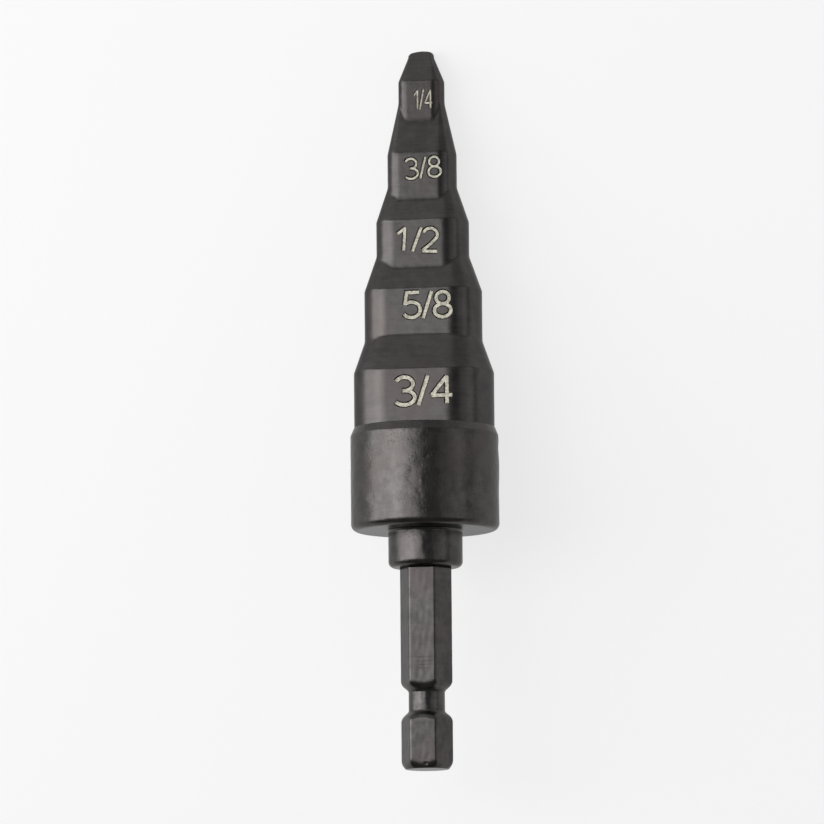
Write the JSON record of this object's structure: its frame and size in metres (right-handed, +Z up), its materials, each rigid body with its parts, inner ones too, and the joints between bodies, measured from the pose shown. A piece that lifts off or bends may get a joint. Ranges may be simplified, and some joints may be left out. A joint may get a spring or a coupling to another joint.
{
  "type": "pipe swaging drill bit",
  "caption": "Stepped pipe swaging drill bit: a hexagonal shank with a locking groove, a round collar, and lobed steps of falling size with opposite flats that widen a soft pipe's mouth.",
  "frame": {"origin": "middle of the resting bit's outline at floor level", "axes": "+Y along the bit towards its tip, +Z up, away from the floor, with the numbered flats facing up; the bit's own axis slopes down to the tip by 9.3 degrees"},
  "size_m": [0.0206, 0.0992, 0.0222],
  "materials": {
    "steel": "dark blackened steel, satin"
  },
  "bodies": {
    "root": {"swaging_bit": "steel"}
  },
  "joints": []
}
